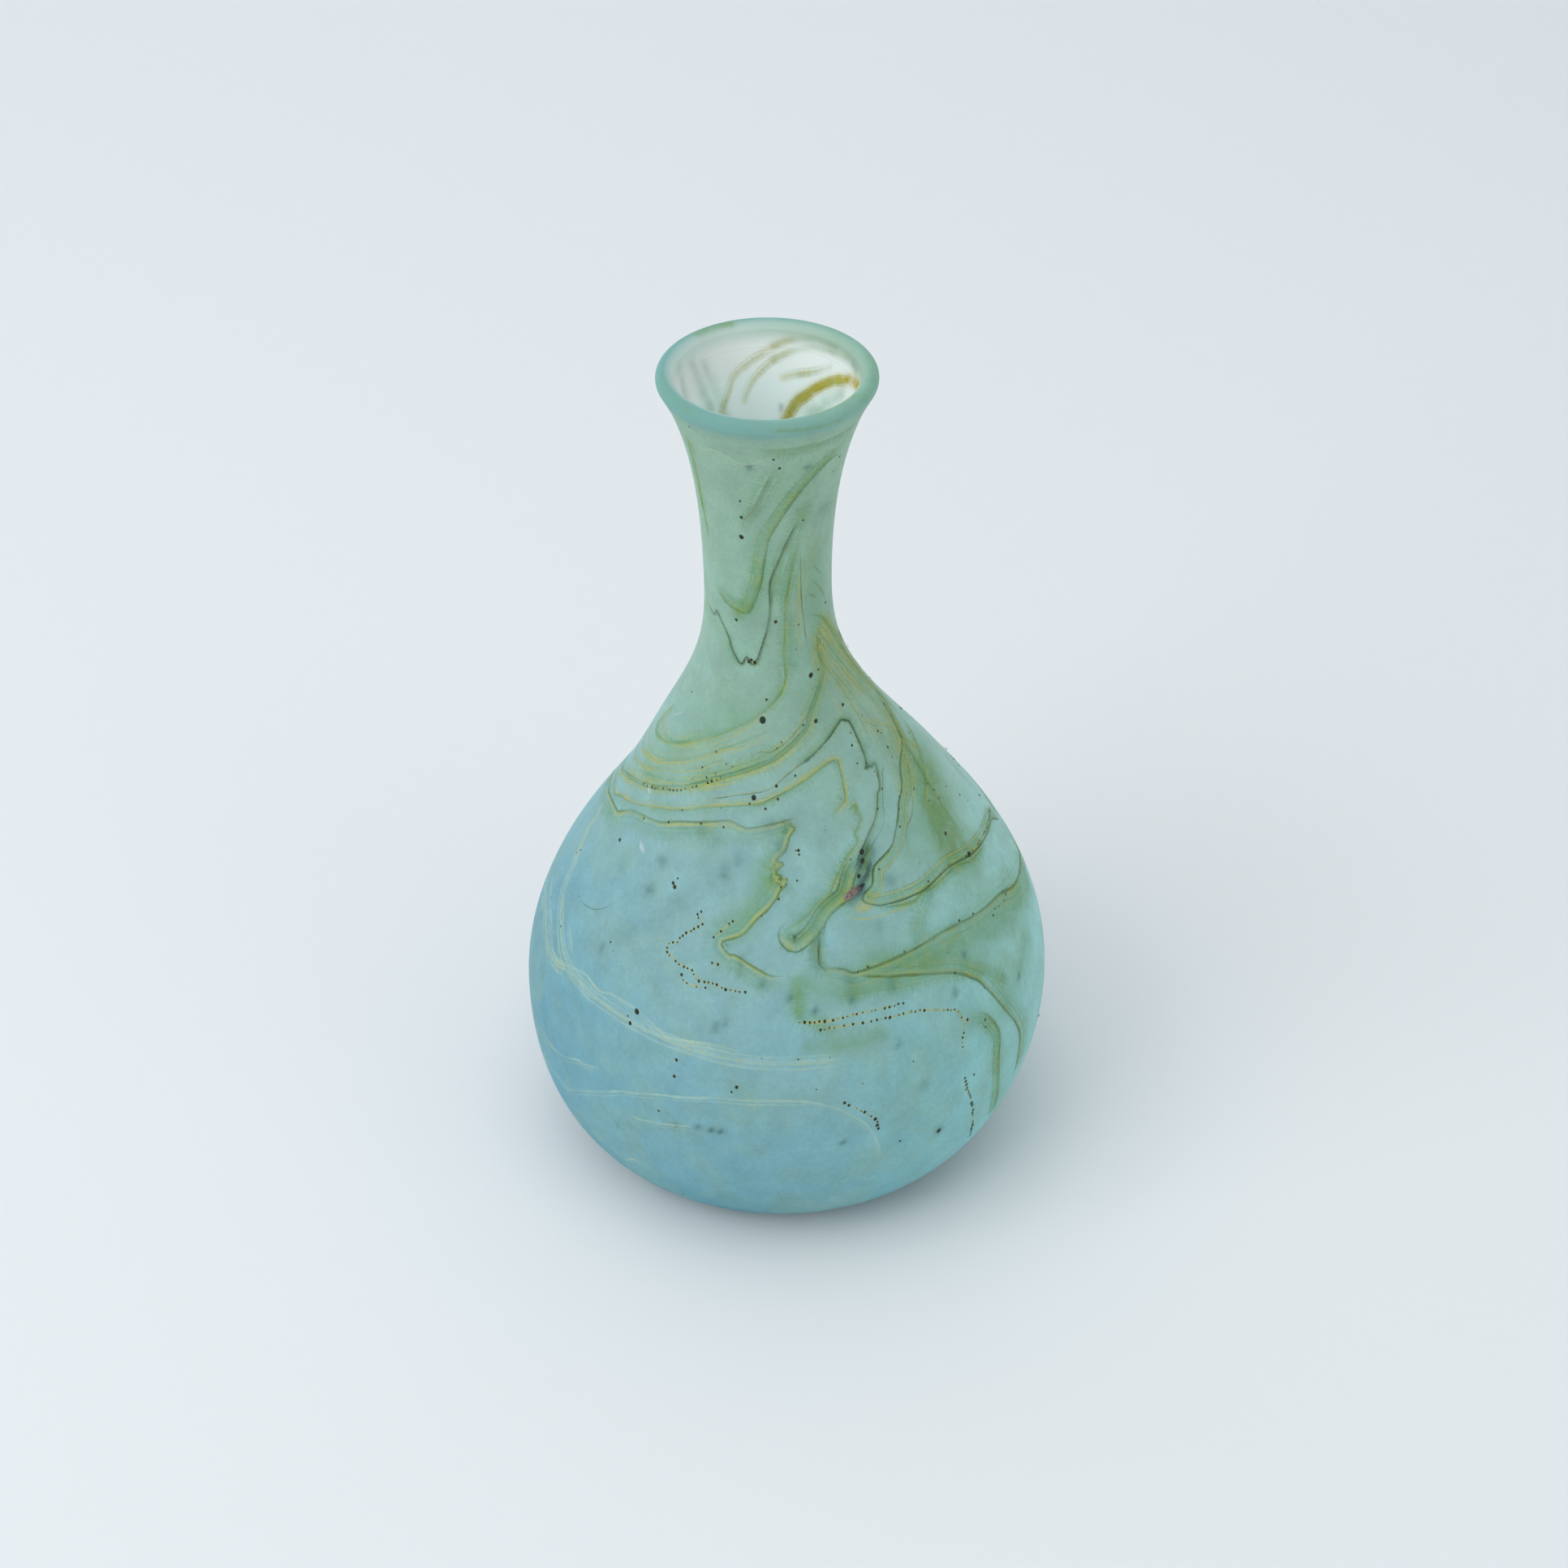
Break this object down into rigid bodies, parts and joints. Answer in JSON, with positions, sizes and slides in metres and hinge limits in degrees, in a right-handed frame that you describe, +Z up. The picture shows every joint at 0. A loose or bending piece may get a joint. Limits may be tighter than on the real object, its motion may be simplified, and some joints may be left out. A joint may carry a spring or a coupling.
{
  "type": "hand blown satin glass vase",
  "caption": "Bulb-bodied blown glass vase with a slim neck, flared lip and inlaid colour trails.",
  "frame": {"origin": "on the table, under the centre of the belly", "axes": "+Z up along the neck, -Y towards the front of the vase, +X to its right"},
  "size_m": [0.116, 0.116, 0.1912],
  "materials": {
    "satin_aqua_glass": "satin, translucent aqua",
    "teal_lip_glass": "satin, translucent teal",
    "dark_green_trail": "satin, deep green",
    "olive_trail": "satin, olive",
    "straw_trail": "satin, pale straw"
  },
  "bodies": {
    "root": {"body_wall": "satin_aqua_glass", "lip_wrap": "teal_lip_glass", "neck_loop_trail": "dark_green_trail", "neck_slant_trail": "olive_trail", "long_sweep_trail": "olive_trail", "lower_sweep_trail": "straw_trail", "feathered_trail": "olive_trail", "peaked_trail": "dark_green_trail", "hooked_trail": "olive_trail", "ridge_trail": "olive_trail", "branch_trail": "olive_trail", "left_drape_trail": "straw_trail"}
  },
  "joints": []
}
